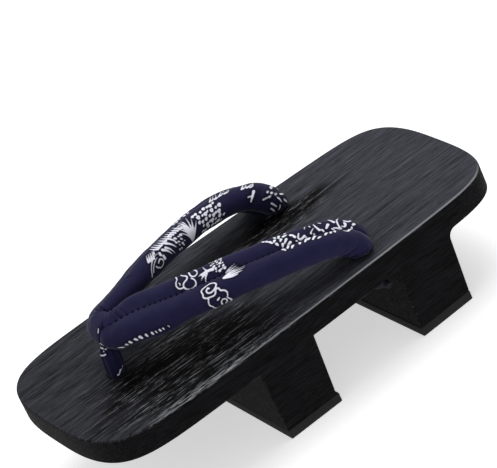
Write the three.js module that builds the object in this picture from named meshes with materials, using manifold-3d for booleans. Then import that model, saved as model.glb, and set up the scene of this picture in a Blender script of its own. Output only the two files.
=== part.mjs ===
// A geta: a flat wooden sandal on two cross teeth, held on by a padded V strap.
// Millimetres, +Z up. The toe points to -Y, the heel to +Y, and the origin is on the
// floor under the middle of the board. The outline is the same on both feet.

import * as THREE from 'three';
import { mergeVertices } from 'three/addons/utils/BufferGeometryUtils.js';
import Module from 'manifold-3d';

const wasm = await Module();
wasm.setup();

// Driving dimensions of the wooden base

const length = 270;             // toe to heel
const middleHalfWidth = 62.6;   // half the width of the board at mid length
const toeHalfWidth = 63.4;      // the same, carried straight on to the toe end
const heelHalfWidth = 57.4;     // and to the heel end
const topHeight = 57.4;         // floor to the top of the board
const boardThickness = 14.3;
const edgeRound = 1.6;          // rounding of the board's top rim
const toeCorner = { along: 9.96, across: 3.05 };    // superellipse powers of the toe end
const heelCorner = { along: 12.7, across: 3.1 };    // and of the heel end

// Each tooth is a block across the whole width, a little narrower at its foot.
const teeth = {
  front: { toeSideTop: -42.5, toeSideFoot: -41.1, heelSideTop: -5.8, heelSideFoot: -8.2, heelFillet: 0 },
  rear: { toeSideTop: 53.1, toeSideFoot: 52.0, heelSideTop: 89.3, heelSideFoot: 87.2, heelFillet: 5 },
};
const treadThickness = 5.5;
const treadStepOut = { front: 1.8, rear: 0.4 };     // how far each tread shows behind its tooth
const treadEase = 0.6;                              // small bevel round the foot of a tread

const fit = 0.3;                // clearance where one piece sits in or round another

// Driving dimensions of the straps

const frontHole = { across: 0, along: -89.5, radius: 5.2 };
const rearHole = { across: 44.5, along: 45.5, radius: 5.6 };

// One limb of the V, from the apex to its knot below the board. Each row is a section:
// where its middle lies (height counted from the board's top), the radius of its two
// padded rolls, how far apart their middles are, and how far the pair leans outward.
const limbSections = [
  { across: 0, along: -84, height: 25.4, roll: 5.6, spread: 9.4, lean: 48 },
  { across: 7.5, along: -81.7, height: 26.4, roll: 5.9, spread: 10.3, lean: 41 },
  { across: 12, along: -76.3, height: 27.2, roll: 6.2, spread: 11, lean: 35 },
  { across: 14.7, along: -69.3, height: 27.3, roll: 6.4, spread: 11.5, lean: 33 },
  { across: 18.4, along: -59, height: 26.9, roll: 6.5, spread: 11.6, lean: 34 },
  { across: 25.4, along: -40, height: 25.6, roll: 6.5, spread: 11.6, lean: 36 },
  { across: 32.7, along: -19, height: 24.5, roll: 6.5, spread: 11.6, lean: 35 },
  { across: 39.6, along: 3, height: 22.5, roll: 6.5, spread: 11.6, lean: 30 },
  { across: 43.4, along: 22, height: 19.2, roll: 6.5, spread: 11.6, lean: 26 },
  { across: 44.3, along: 34, height: 15, roll: 6.5, spread: 11.6, lean: 27 },
  { across: 44.4, along: 41.4, height: 10.6, roll: 6.4, spread: 10.8, lean: 29 },
  { across: 44.5, along: 45, height: 5.6, roll: 6.1, spread: 8.4, lean: 30 },
  { across: 44.5, along: 45.5, height: 0.6, roll: 5.2, spread: 0, lean: 30 },
  { across: 44.5, along: 45.5, height: -7, roll: 5.2, spread: 0, lean: 30 },
  { across: 44.5, along: 45.5, height: -14.6, roll: 5.2, spread: 0, lean: 30 },
  { across: 44.5, along: 45.2, height: -18.5, roll: 6.6, spread: 0, lean: 30 },
  { across: 44.5, along: 45.2, height: -22.5, roll: 6.4, spread: 0, lean: 30 },
  { across: 44.5, along: 45.2, height: -25.5, roll: 4.2, spread: 0, lean: 30 },
];
const rollSides = 10;           // facets round each roll
const stepsPerSection = 2;

// The toe loop: a band over the apex of the V, its ends gathered into one stem.
const bandWidth = 11.5;
const bandThickness = 2.2;
const bandEdgeRound = 1.2;
const stemSections = [
  { along: -84.5, height: 17, radius: 3.6 },
  { along: -86, height: 12.5, radius: 5.2 },
  { along: -88, height: 7, radius: 5.0 },
  { along: -89.5, height: 0.5, radius: 4.9 },
  { along: -89.5, height: -14.6, radius: 4.9 },
  { along: -89.5, height: -17.5, radius: 7.2 },
  { along: -89.5, height: -21.5, radius: 7.4 },
  { along: -89.5, height: -24.5, radius: 4.4 },
];
const stemSides = 16;

// From a list of rings of equal length to one closed mesh, its two ends capped
function skin(rings) {
  const sides = rings[0].length;
  const points = rings.flat();
  const faces = [];
  for (let r = 0; r + 1 < rings.length; r++) {
    for (let i = 0; i < sides; i++) {
      const a = r * sides + i;
      const b = r * sides + (i + 1) % sides;
      faces.push(a, b, b + sides, a, b + sides, a + sides);
    }
  }
  const firstMiddle = points.length;
  points.push(middleOf(rings[0]), middleOf(rings[rings.length - 1]));
  const lastRing = (rings.length - 1) * sides;
  for (let i = 0; i < sides; i++) {
    const next = (i + 1) % sides;
    faces.push(firstMiddle, next, i);
    faces.push(firstMiddle + 1, lastRing + i, lastRing + next);
  }
  const geometry = new THREE.BufferGeometry();
  geometry.setAttribute('position', new THREE.Float32BufferAttribute(points.flatMap((p) => [p.x, p.y, p.z]), 3));
  geometry.setIndex(faces);
  return geometry;
}

function middleOf(ring) {
  const sum = ring.reduce((total, p) => total.add(p), new THREE.Vector3());
  return sum.divideScalar(ring.length);
}

// Between closed geometries and solids that can be cut and joined
function solidFrom(geometry) {
  const bare = geometry.clone();
  bare.deleteAttribute('normal');
  bare.deleteAttribute('uv');
  const merged = mergeVertices(bare, 1e-4);
  return new wasm.Manifold(new wasm.Mesh({
    numProp: 3,
    vertProperties: new Float32Array(merged.attributes.position.array),
    triVerts: new Uint32Array(merged.index.array),
  }));
}

function geometryFrom(solid) {
  const mesh = solid.getMesh();
  const geometry = new THREE.BufferGeometry();
  geometry.setAttribute('position', new THREE.BufferAttribute(new Float32Array(mesh.vertProperties), 3));
  geometry.setIndex(new THREE.BufferAttribute(new Uint32Array(mesh.triVerts), 1));
  geometry.computeVertexNormals();
  return geometry;
}

// Half the board's width at a place along it: a gentle taper times the end's round corner
function halfWidthAt(along) {
  const s = along / (length / 2);
  const taper = middleHalfWidth + (heelHalfWidth - toeHalfWidth) / 2 * s
    + ((heelHalfWidth + toeHalfWidth) / 2 - middleHalfWidth) * s * s;
  const corner = s < 0 ? toeCorner : heelCorner;
  return taper * Math.pow(Math.max(0, 1 - Math.pow(Math.abs(s), corner.along)), 1 / corner.across);
}

// The board's outline seen from above, as points spaced by length and by turning. The
// left side runs from the heel's middle to the toe's, and the right side mirrors it.
function boardOutline() {
  const count = 1200;
  const dense = [];
  for (let i = 0; i <= count; i++) {
    const facing = Math.cos((i / count) * Math.PI);
    const corner = facing < 0 ? toeCorner : heelCorner;
    const along = Math.sign(facing) * Math.pow(Math.abs(facing), 2 / corner.along) * length / 2;
    dense.push(new THREE.Vector2(halfWidthAt(along), along));
  }
  const longestStep = 24;
  const sharpestTurn = THREE.MathUtils.degToRad(7.5);
  const side = [dense[0]];
  let used = 0;
  for (let i = 1; i < count; i++) {
    const before = dense[i].clone().sub(dense[i - 1]);
    const after = dense[i + 1].clone().sub(dense[i]);
    const turned = Math.abs(Math.atan2(before.cross(after), before.dot(after)));
    used += before.length() / longestStep + turned / sharpestTurn;
    if (used >= 1) {
      side.push(dense[i]);
      used = 0;
    }
  }
  side.push(dense[count]);
  const mirrored = side.slice(1, -1).reverse().map((p) => new THREE.Vector2(-p.x, p.y));
  return [...side, ...mirrored];
}

// The outline drawn in by a small distance, square to itself
function drawnIn(outline, distance) {
  return outline.map((p, i) => {
    const before = outline[(i - 1 + outline.length) % outline.length];
    const after = outline[(i + 1) % outline.length];
    const run = after.clone().sub(before).normalize();
    return new THREE.Vector2(p.x + run.y * distance * outlineSense, p.y - run.x * distance * outlineSense);
  });
}

const outline = boardOutline();
const outlineSense = THREE.ShapeUtils.area(outline) > 0 ? -1 : 1;

// A block with the board's outline, between the levels given as [height, drawn in]
function outlineBlock(levels) {
  const rings = levels.map(([height, inset]) => {
    const ring = drawnIn(outline, inset).map((p) => new THREE.Vector3(p.x, p.y, height));
    return outlineSense < 0 ? ring : ring.reverse();
  });
  return solidFrom(skin(rings));
}

// A side view, drawn as [along, height], run across by a width, with its edges rounded
function acrossSolid(sideView, width, edge = 0) {
  const geometry = new THREE.ExtrudeGeometry(sideView, {
    depth: width - 2 * edge,
    curveSegments: 12,
    bevelEnabled: edge > 0,
    bevelThickness: edge,
    bevelSize: edge,
    bevelSegments: 2,
  });
  geometry.translate(0, 0, edge - width / 2);
  // The view's first axis goes to +Y, its second to +Z and the run to +X.
  const turn = new THREE.Matrix4().makeBasis(
    new THREE.Vector3(0, 1, 0), new THREE.Vector3(0, 0, 1), new THREE.Vector3(1, 0, 0));
  geometry.applyMatrix4(turn);
  return solidFrom(geometry);
}

// The same for a view given by its corners, run well past both sides of the sandal
function sideViewBlock(corners) {
  return acrossSolid(new THREE.Shape(corners.map(([along, height]) => new THREE.Vector2(along, height))), length);
}

// A hole straight through the board
function holeThrough({ across, along, radius }) {
  const drill = new THREE.CylinderGeometry(radius, radius, boardThickness * 3, 24);
  drill.rotateX(Math.PI / 2);
  drill.translate(across, along, topHeight - boardThickness / 2);
  return solidFrom(drill);
}

// The wooden base: board and both teeth carved from one block
function woodenBase() {
  const underside = topHeight - boardThickness;
  const foot = treadThickness + fit;
  const beyond = length / 2 + 10;
  const { front, rear } = teeth;
  const fillet = [];
  for (let i = 0; i <= 4; i++) {
    const turn = (i / 4) * Math.PI / 2;
    fillet.push([rear.heelSideTop + rear.heelFillet * (1 - Math.cos(turn)),
      underside - rear.heelFillet * (1 - Math.sin(turn))]);
  }
  const block = outlineBlock([
    [foot, 0],
    [topHeight - edgeRound, 0],
    [topHeight - edgeRound * 0.4, edgeRound * 0.2],
    [topHeight, edgeRound],
  ]);
  const carved = block.intersect(sideViewBlock([
    [-beyond, topHeight + 1], [-beyond, underside],
    [front.toeSideTop, underside], [front.toeSideFoot, foot],
    [front.heelSideFoot, foot], [front.heelSideTop, underside],
    [rear.toeSideTop, underside], [rear.toeSideFoot, foot],
    [rear.heelSideFoot, foot], ...fillet,
    [beyond, underside], [beyond, topHeight + 1],
  ]));
  const leftHole = { ...rearHole, across: -rearHole.across };
  return carved.subtract(holeThrough(frontHole)).subtract(holeThrough(rearHole)).subtract(holeThrough(leftHole));
}

// The rubber tread under one tooth, with the outline of the wood above it
function tread(tooth, stepOut) {
  const block = outlineBlock([[0, treadEase], [treadEase, 0], [treadThickness, 0]]);
  return block.intersect(sideViewBlock([
    [tooth.toeSideFoot + treadEase, 0], [tooth.heelSideFoot + stepOut - treadEase, 0],
    [tooth.heelSideFoot + stepOut, treadEase], [tooth.heelSideFoot + stepOut, treadThickness],
    [tooth.toeSideFoot, treadThickness], [tooth.toeSideFoot, treadEase],
  ]));
}

// The section of a pair of rolls sewn side by side, as [outward, up] from their middle
function pairSection(roll, spread) {
  const half = spread / 2;
  const meet = Math.acos(-half / roll);
  const section = [];
  for (const side of [1, -1]) {
    for (let i = 0; i < rollSides; i++) {
      const turn = meet - (2 * meet * i) / rollSides;
      section.push([side * (half + roll * Math.cos(turn)), side * roll * Math.sin(turn)]);
    }
  }
  return section;
}

// The middle line and the section of a limb at a place from 0, the apex, to 1, its end
const middleLine = new THREE.CatmullRomCurve3(
  [...limbSections.slice(1).reverse().map((s) => new THREE.Vector3(-s.across, s.along, topHeight + s.height)),
    ...limbSections.map((s) => new THREE.Vector3(s.across, s.along, topHeight + s.height))],
  false, 'catmullrom', 0.5);

function sectionAt(place) {
  const row = Math.min(place * (limbSections.length - 1), limbSections.length - 1.0001);
  const low = limbSections[Math.floor(row)];
  const high = limbSections[Math.floor(row) + 1];
  const mix = row - Math.floor(row);
  const between = (name) => low[name] + (high[name] - low[name]) * mix;
  return { roll: between('roll'), spread: between('spread'), lean: THREE.MathUtils.degToRad(between('lean')) };
}

// The rings of one limb from the apex on. The sideways direction starts towards the toe
// and is carried along the middle line without twist.
function limbRings(grow = 0) {
  const count = (limbSections.length - 1) * stepsPerSection;
  let outward = new THREE.Vector3(0, -1, 0);
  const rings = [];
  for (let i = 0; i <= count; i++) {
    const place = i / count;
    const middle = middleLine.getPoint(0.5 + place / 2);
    const run = middleLine.getTangent(0.5 + place / 2);
    if (i === 0) run.set(1, 0, 0);
    outward = outward.addScaledVector(run, -outward.dot(run)).normalize().clone();
    const up = outward.clone().cross(run);
    const { roll, spread, lean } = sectionAt(place);
    rings.push(pairSection(roll + grow, spread).map(([out, rise]) => {
      const side = out * Math.cos(lean) + rise * Math.sin(lean);
      const lift = rise * Math.cos(lean) - out * Math.sin(lean);
      return middle.clone().addScaledVector(outward, side).addScaledVector(up, lift);
    }));
  }
  return rings;
}

// Both limbs as one padded piece, the left one a mirror of the right
function strap() {
  const right = limbRings();
  const left = right.slice(1).reverse().map((ring) => ring.map((p) => new THREE.Vector3(-p.x, p.y, p.z)));
  return solidFrom(skin([...left, ...right]));
}

// The strap round its apex, drawn larger by a clearance, as short lengths
// of both limbs that overlap one another
function apexLengths(grow) {
  const rings = limbRings(grow).slice(0, 4 * stepsPerSection);
  const lengths = [];
  for (let i = 0; i + 2 < rings.length; i++) {
    const three = rings.slice(i, i + 3);
    const mirrored = three.map((ring) => ring.map((p) => new THREE.Vector3(-p.x, p.y, p.z))).reverse();
    lengths.push(solidFrom(skin(three)), solidFrom(skin(mirrored)));
  }
  return lengths;
}

// The toe loop: a band round both rolls at the apex, hollowed to lie on them, and its stem
function toeLoop() {
  const apex = limbSections[0];
  const lean = THREE.MathUtils.degToRad(apex.lean);
  const reach = apex.roll + fit + bandThickness - bandEdgeRound;
  const toeRoll = [apex.along - apex.spread / 2 * Math.cos(lean), topHeight + apex.height - apex.spread / 2 * Math.sin(lean)];
  const heelRoll = [apex.along + apex.spread / 2 * Math.cos(lean), topHeight + apex.height + apex.spread / 2 * Math.sin(lean)];
  const square = lean + Math.PI / 2;
  const sideView = new THREE.Shape();
  sideView.absarc(toeRoll[0], toeRoll[1], reach, square, square + Math.PI, false);
  sideView.absarc(heelRoll[0], heelRoll[1], reach, square - Math.PI, square, false);
  const band = acrossSolid(sideView, bandWidth, bandEdgeRound);
  const rings = stemSections.map(({ along, height, radius }) => {
    const ring = [];
    for (let i = 0; i < stemSides; i++) {
      const turn = (2 * Math.PI * i) / stemSides;
      ring.push(new THREE.Vector3(radius * Math.cos(turn), along - radius * Math.sin(turn), topHeight + height));
    }
    return ring;
  });
  let loop = band.add(solidFrom(skin(rings)));
  for (const length of apexLengths(fit)) loop = loop.subtract(length);
  return loop;
}

// Colours and finishes

const charredWood = new THREE.MeshStandardMaterial({ color: '#26272a', roughness: 0.62, metalness: 0 });
const blackRubber = new THREE.MeshStandardMaterial({ color: '#2a2a2a', roughness: 0.85, metalness: 0 });
const navyCotton = new THREE.MeshStandardMaterial({ color: '#25254b', roughness: 0.9, metalness: 0 });

const geta = new THREE.Group();

function place(name, solid, material) {
  const mesh = new THREE.Mesh(geometryFrom(solid), material);
  mesh.name = name;
  geta.add(mesh);
}

place('wooden_base', woodenBase(), charredWood);
place('front_tread', tread(teeth.front, treadStepOut.front), blackRubber);
place('rear_tread', tread(teeth.rear, treadStepOut.rear), blackRubber);
place('strap', strap(), navyCotton.clone());
place('toe_loop', toeLoop(), navyCotton.clone());

export default geta;
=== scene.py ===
# A geta seen from its outer side: a charred wooden sandal on two teeth, with a padded
# V strap of printed navy cotton. Sizes are written in millimetres and turned to metres
# where a mesh is made. The toe points to -Y and the floor is z = 0, as in the frame.
# Right is +X, the side that the camera sees.

import math

import bmesh
import bpy
import numpy as np
from mathutils import Matrix, Vector


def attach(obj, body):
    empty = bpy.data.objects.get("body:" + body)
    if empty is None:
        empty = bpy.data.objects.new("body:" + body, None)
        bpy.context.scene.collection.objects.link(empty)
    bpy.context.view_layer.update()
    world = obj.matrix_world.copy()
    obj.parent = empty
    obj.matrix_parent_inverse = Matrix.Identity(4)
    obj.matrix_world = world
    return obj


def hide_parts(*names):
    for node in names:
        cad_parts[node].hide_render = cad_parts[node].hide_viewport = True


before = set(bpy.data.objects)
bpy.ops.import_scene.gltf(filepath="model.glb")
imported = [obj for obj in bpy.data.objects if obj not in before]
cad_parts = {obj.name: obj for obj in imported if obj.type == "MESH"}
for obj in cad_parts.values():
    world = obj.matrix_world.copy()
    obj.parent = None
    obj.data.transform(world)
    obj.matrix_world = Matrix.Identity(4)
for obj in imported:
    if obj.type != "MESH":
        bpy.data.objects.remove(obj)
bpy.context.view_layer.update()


# Studio
# A photographer's white table, lit a little from below so that shadows stay faint, with a
# big soft box overhead and behind and white walls all round. The camera is a long lens,
# tilted as it was for the picture. This section alone is written in metres.

view_azimuth = math.radians(67.9986)
view_elevation = math.radians(28.7056)
view_roll = math.radians(24.7848)
view_distance = 1.70365
view_target = Vector((-0.13241, 0.06354, 0))

away = Vector((
    math.sin(view_azimuth) * math.cos(view_elevation),
    -math.cos(view_azimuth) * math.cos(view_elevation),
    math.sin(view_elevation),
))
level_right = Vector((math.cos(view_azimuth), math.sin(view_azimuth), 0))
level_up = away.cross(level_right)
rolled_right = math.cos(view_roll) * level_right - math.sin(view_roll) * level_up
rolled_up = math.sin(view_roll) * level_right + math.cos(view_roll) * level_up

lens = bpy.data.cameras.new("long_lens")
lens.sensor_fit = "HORIZONTAL"
lens.sensor_width = 36
lens.lens = 211.59
lens.clip_start = 0.05
lens.clip_end = 20
camera = bpy.data.objects.new("camera", lens)
camera.matrix_world = (
    Matrix.Translation(view_target + view_distance * away)
    @ Matrix((rolled_right, rolled_up, away)).transposed().to_4x4()
)
bpy.context.collection.objects.link(camera)
bpy.context.scene.camera = camera

bpy.context.scene.view_settings.view_transform = "Standard"
bpy.context.scene.view_settings.look = "None"


def linear(colour):
    """An sRGB hex colour as linear red, green, blue and a full alpha."""
    parts = [int(colour[i:i + 2], 16) / 255 for i in (1, 3, 5)]
    return [p / 12.92 if p <= 0.04045 else ((p + 0.055) / 1.055) ** 2.4 for p in parts] + [1]


def add_node(tree, kind, inputs=None, **settings):
    """A node of that kind, with its settings made and its inputs set or linked."""
    made = tree.nodes.new(kind)
    for name, value in settings.items():
        setattr(made, name, value)
    for name, value in (inputs or {}).items():
        if isinstance(value, bpy.types.NodeSocket):
            tree.links.new(value, made.inputs[name])
        else:
            made.inputs[name].default_value = value
    return made


def blank_material(name):
    """A material and its node tree, empty."""
    made = bpy.data.materials.new(name)
    made.use_nodes = True
    made.node_tree.nodes.clear()
    return made, made.node_tree


def soft_box(name, place, aim, size, power):
    """A square area light that hangs at a place and faces another one."""
    light = bpy.data.lights.new(name, "AREA")
    light.size = size
    light.energy = power
    lamp = bpy.data.objects.new(name, light)
    lamp.location = place
    lamp.rotation_euler = (Vector(aim) - Vector(place)).to_track_quat("-Z", "Y").to_euler()
    bpy.context.collection.objects.link(lamp)


soft_box("overhead_box", (-0.45, 0.45, 1.6), (0, 0, 0), 1.5, 24)
soft_box("front_fill", (1.5, -1.1, 1.0), (0, 0, 0.03), 1.4, 3)

walls = bpy.data.worlds.new("white_walls")
walls.use_nodes = True
walls.node_tree.nodes["Background"].inputs["Color"].default_value = linear("#ffffff")
walls.node_tree.nodes["Background"].inputs["Strength"].default_value = 0.42
bpy.context.scene.world = walls

# Opal acrylic sheet, sand blasted and lit from below: white and matt, with no pattern
acrylic, tree = blank_material("opal_acrylic_table")
shader = add_node(tree, "ShaderNodeBsdfPrincipled", {
    "Base Color": linear("#d4d4d4"), "Roughness": 0.9, "Specular IOR Level": 0.1,
    "Emission Color": linear("#ffffff"), "Emission Strength": 0.57})
add_node(tree, "ShaderNodeOutputMaterial", {"Surface": shader.outputs["BSDF"]})

floor_mesh = bpy.data.meshes.new("studio_floor")
floor_mesh.from_pydata([(-4, -4, 0), (4, -4, 0), (4, 4, 0), (-4, 4, 0)], [], [(0, 1, 2, 3)])
floor_mesh.materials.append(acrylic)
studio_floor = bpy.data.objects.new("studio_floor", floor_mesh)
bpy.context.collection.objects.link(studio_floor)


# Wooden base
# Board and teeth are sawn from one block of paulownia, its grain running toe to heel.
# The block is charred, brushed and oiled: the soft wood burns away in fine grooves
# between black ridges, and handling wears the top rim to a dull grey. Along the right rim
# that grey is partly a painted highlight.

millimetre = 0.001
board_length = 270
board_top = 57.4
board_thickness = 14.3
board_half_width = {"toe": 63.4, "middle": 62.6, "heel": 57.4}
toe_corner = {"along": 9.96, "across": 3.05}
heel_corner = {"along": 12.7, "across": 3.1}
tooth_foot = 5.8
front_tooth = {"toe_top": -42.5, "toe_foot": -41.1, "heel_top": -5.8, "heel_foot": -8.2}
rear_tooth = {"toe_top": 53.1, "toe_foot": 52.0, "heel_top": 89.3, "heel_foot": 87.2}
rear_tooth_fillet = 5
rim_round = 1.6
edge_ease = 0.7
strap_holes = [(0, -89.5, 5.2), (-44.5, 45.5, 5.6), (44.5, 45.5, 5.6)]  # across, along, radius


def half_width(along):
    """Half the board's width: a gentle taper times the round corner of that end."""
    toe, middle, heel = board_half_width["toe"], board_half_width["middle"], board_half_width["heel"]
    s = along / (board_length / 2)
    taper = middle + (heel - toe) / 2 * s + ((heel + toe) / 2 - middle) * s * s
    corner = toe_corner if s < 0 else heel_corner
    return taper * max(0, 1 - abs(s) ** corner["along"]) ** (1 / corner["across"])


def board_outline(longest_step, sharpest_turn):
    """The board from above, its points spaced by length and by how much the edge turns."""
    dense = []
    for i in range(2401):
        facing = math.cos(i / 2400 * math.pi)
        corner = toe_corner if facing < 0 else heel_corner
        along = math.copysign(abs(facing) ** (2 / corner["along"]) * board_length / 2, facing)
        dense.append(Vector((half_width(along), along)))
    side = [dense[0]]
    used = 0
    for before, here, after in zip(dense, dense[1:], dense[2:]):
        used += (here - before).length / longest_step
        used += abs((here - before).angle_signed(after - here, 0)) / math.radians(sharpest_turn)
        if used >= 1:
            side.append(here)
            used = 0
    side.append(dense[-1])
    return side + [Vector((-p.x, p.y)) for p in side[-2:0:-1]]


def solid(name, points, faces):
    """A piece with these points and faces, every face turned outward."""
    mesh = bpy.data.meshes.new(name)
    mesh.from_pydata(points, [], faces)
    shape = bmesh.new()
    shape.from_mesh(mesh)
    bmesh.ops.recalc_face_normals(shape, faces=shape.faces)
    shape.to_mesh(mesh)
    shape.free()
    piece = bpy.data.objects.new(name, mesh)
    bpy.context.collection.objects.link(piece)
    return piece


def prism(name, corners, low, high):
    """A closed block: a polygon of (first, second) corners run from low to high."""
    count = len(corners)
    points = [(*p, low) for p in corners] + [(*p, high) for p in corners]
    faces = [(i, (i + 1) % count, (i + 1) % count + count, i + count) for i in range(count)]
    faces += [tuple(range(count))[::-1], tuple(range(count, 2 * count))]
    return solid(name, points, faces)


def side_prism(name, corners):
    """A block with the given side view, corners as (along, height), run across the sandal."""
    block = prism(name, corners, -80, 80)
    block.data.transform(Matrix(((0, 0, 1, 0), (1, 0, 0, 0), (0, 1, 0, 0), (0, 0, 0, 1))))
    return block


def carve(piece, cutter, operation):
    """Cuts a piece with another one, which is used up."""
    cut = piece.modifiers.new("cut", "BOOLEAN")
    cut.operation = operation
    cut.solver = "EXACT"
    cut.object = cutter
    bpy.context.view_layer.update()
    carved = bpy.data.meshes.new_from_object(piece.evaluated_get(bpy.context.evaluated_depsgraph_get()))
    piece.modifiers.clear()
    piece.data = carved
    bpy.data.objects.remove(cutter)


def ease_edges(piece, top_round, ease):
    """Rounds the top rim and eases every other sharp edge. The attribute wear is 1 on them."""
    shape = bmesh.new()
    shape.from_mesh(piece.data)
    bmesh.ops.dissolve_limit(
        shape, angle_limit=math.radians(0.2), verts=shape.verts[:], edges=shape.edges[:])
    wear = shape.verts.layers.float.new("wear")
    top = max(v.co.z for v in shape.verts)
    if top_round:
        rim = [e for e in shape.edges if e.is_manifold and e.calc_face_angle() > math.radians(57)
               and all(v.co.z > top - 0.01 for v in e.verts)]
        made = bmesh.ops.bevel(shape, geom=rim, offset=top_round, segments=6, profile=0.5, affect="EDGES")
        rounded = set(made["faces"])
    else:
        rounded = set()
    sharp = [e for e in shape.edges if e.is_manifold and e.calc_face_angle() > math.radians(25)
             and not (set(e.link_faces) & rounded)]
    made = bmesh.ops.bevel(shape, geom=sharp, offset=ease, segments=3, profile=0.5, affect="EDGES")
    rounded = {f for f in rounded | set(made["faces"]) if f.is_valid}
    for vertex in shape.verts:
        vertex[wear] = 1.0 if all(f in rounded for f in vertex.link_faces) else 0.0
    shape.to_mesh(piece.data)
    shape.free()
    piece.data.shade_smooth()
    piece.data.set_sharp_from_angle(angle=math.radians(28))


plan_view = board_outline(longest_step=3, sharpest_turn=2.5)
wood = prism("charred_base", plan_view, tooth_foot, board_top)
underside = board_top - board_thickness
beyond = board_length / 2 + 10
fillet = []
for i in range(9):
    turn = i / 8 * math.pi / 2
    fillet.append((rear_tooth["heel_top"] + rear_tooth_fillet * (1 - math.cos(turn)),
                   underside - rear_tooth_fillet * (1 - math.sin(turn))))
carve(wood, side_prism("side_view", [
    (-beyond, board_top + 5), (-beyond, underside),
    (front_tooth["toe_top"], underside), (front_tooth["toe_foot"], tooth_foot - 5),
    (front_tooth["heel_foot"], tooth_foot - 5), (front_tooth["heel_top"], underside),
    (rear_tooth["toe_top"], underside), (rear_tooth["toe_foot"], tooth_foot - 5),
    (rear_tooth["heel_foot"], tooth_foot - 5), *fillet,
    (beyond, underside), (beyond, board_top + 5),
]), "INTERSECT")
for across, along, radius in strap_holes:
    ring = [(across + radius * math.cos(i / 48 * 2 * math.pi),
             along + radius * math.sin(i / 48 * 2 * math.pi)) for i in range(48)]
    carve(wood, prism("drill", ring, underside - 5, board_top + 5), "DIFFERENCE")
ease_edges(wood, rim_round, edge_ease)
wood.data.transform(Matrix.Scale(millimetre, 4))

# Paulownia, charred and wire brushed, then oiled: fine grey ridges over black grooves, which
# are blacker and sharper where the flame stayed longer and in painted shadow of the strap.
# Real fibre streaks are about 0.3 mm wide, and these are drawn twice as coarse so that they
# show. They are 10 to 25 mm long.
ring_width = 2.381
fibre_width = 2 / 3
drift_width = 111
scorch_width = 40 / 3
rub_width = 0.769
char, tree = blank_material("charred_brushed_paulownia")
place = add_node(tree, "ShaderNodeTexCoord").outputs["Object"]
axes = add_node(tree, "ShaderNodeSeparateXYZ", {"Vector": place})

# Where on the base each look begins and is full: (name, axis, begins, full, least, most)
where = {}
for name, axis, begins, full, least, most in (
        ("painted heel sheen", "Y", -100, 120, 0.06, 0.28), ("top", "Z", 56.3, 57.2, 0, 1),
        ("edges", "Z", 45, 55, 0.13, 0.1), ("right side", "X", 54, 62, 0, 1),
        ("behind the toes", "Y", -120, -90, 0, 1), ("ahead of the ankle", "Y", 30, -50, 0, 1),
        ("above the rim", "Z", 56.6, 56.9, 0, 1), ("below the top", "Z", 57.37, 57.2, 0, 1),
        ("right edge", "X", 44, 54, 0, 1), ("toward the heel", "Y", -110, 30, 0, 0.95)):
    where[name] = add_node(tree, "ShaderNodeMapRange", {
        "Value": axes.outputs[axis], "From Min": begins * millimetre, "From Max": full * millimetre,
        "To Min": least, "To Max": most}).outputs["Result"]

drift = add_node(tree, "ShaderNodeTexNoise", {
    "Vector": place, "Scale": 1 / (drift_width * millimetre), "Detail": 1})
drifted = add_node(tree, "ShaderNodeVectorMath", {
    0: drift.outputs["Color"], 1: (8 * millimetre, 0, 8 * millimetre), 2: place},
    operation="MULTIPLY_ADD")
along_grain = add_node(tree, "ShaderNodeMapping", {
    "Vector": drifted.outputs["Vector"], "Scale": (1, 0.045, 1)})
longer_grain = add_node(tree, "ShaderNodeMapping", {
    "Vector": along_grain.outputs["Vector"], "Scale": (1, 0.4, 1)})
rings = add_node(tree, "ShaderNodeTexNoise", {
    "Vector": longer_grain.outputs["Vector"],
    "Scale": 1 / (ring_width * millimetre), "Detail": 1})
fibres = add_node(tree, "ShaderNodeTexNoise", {
    "Vector": along_grain.outputs["Vector"], "Scale": 1 / (fibre_width * millimetre),
    "Detail": 3, "Roughness": 0.75})
relief = add_node(tree, "ShaderNodeMix", {
    "Factor": 0.78, "A": rings.outputs["Fac"], "B": fibres.outputs["Fac"]})
ridge = add_node(tree, "ShaderNodeMapRange", {
    "Value": relief.outputs["Result"], "From Min": 0.38, "From Max": 0.66})
# Toward the heel the top is painted lighter: a painted sheen, light that the top reflects at a grazing angle
# there.
rising = add_node(tree, "ShaderNodeMath", {
    0: ridge.outputs["Result"], 1: 0.78, 2: where["painted heel sheen"]}, operation="MULTIPLY_ADD")
brushed_with_heel_sheen = add_node(tree, "ShaderNodeMix", {
    "Factor": rising.outputs["Value"], "A": linear("#060608"), "B": linear("#4b4c54")},
    data_type="RGBA", clamp_factor=False)

# Black patches beside the toe hole and along the right edge, and by the left rear hole: partly
# where the flame stayed longer, partly painted shadow cast by the limbs of the strap. The
# patches' edges wander with the grain.
short_grain = add_node(tree, "ShaderNodeMapping", {"Vector": place, "Scale": (1, 0.3, 1)})
patchy = add_node(tree, "ShaderNodeTexNoise", {
    "Vector": short_grain.outputs["Vector"],
    "Scale": 1 / (scorch_width * millimetre), "Detail": 2})
flame_and_strap_shadow = 0
for middle, reach in (((26, -60), (30, 55)), ((45, -60), (24, 68)), ((-26, 38), (15, 34))):
    spread = add_node(tree, "ShaderNodeMapping", {
        "Vector": place, "Scale": [1 / (r * millimetre) for r in reach] + [0],
        "Location": [-m / r for m, r in zip(middle, reach)] + [0]})
    far = add_node(tree, "ShaderNodeVectorMath", {0: spread.outputs["Vector"]}, operation="LENGTH")
    lit = add_node(tree, "ShaderNodeMapRange", {
        "Value": far.outputs["Value"], "From Min": 1.35, "From Max": 0.3})
    flame_and_strap_shadow = add_node(tree, "ShaderNodeMath", {
        0: flame_and_strap_shadow, 1: lit.outputs["Result"]}, operation="MAXIMUM").outputs["Value"]
mottled = add_node(tree, "ShaderNodeMath", {
    0: patchy.outputs["Fac"], 1: 1.2, 2: flame_and_strap_shadow}, operation="MULTIPLY_ADD")
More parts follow.
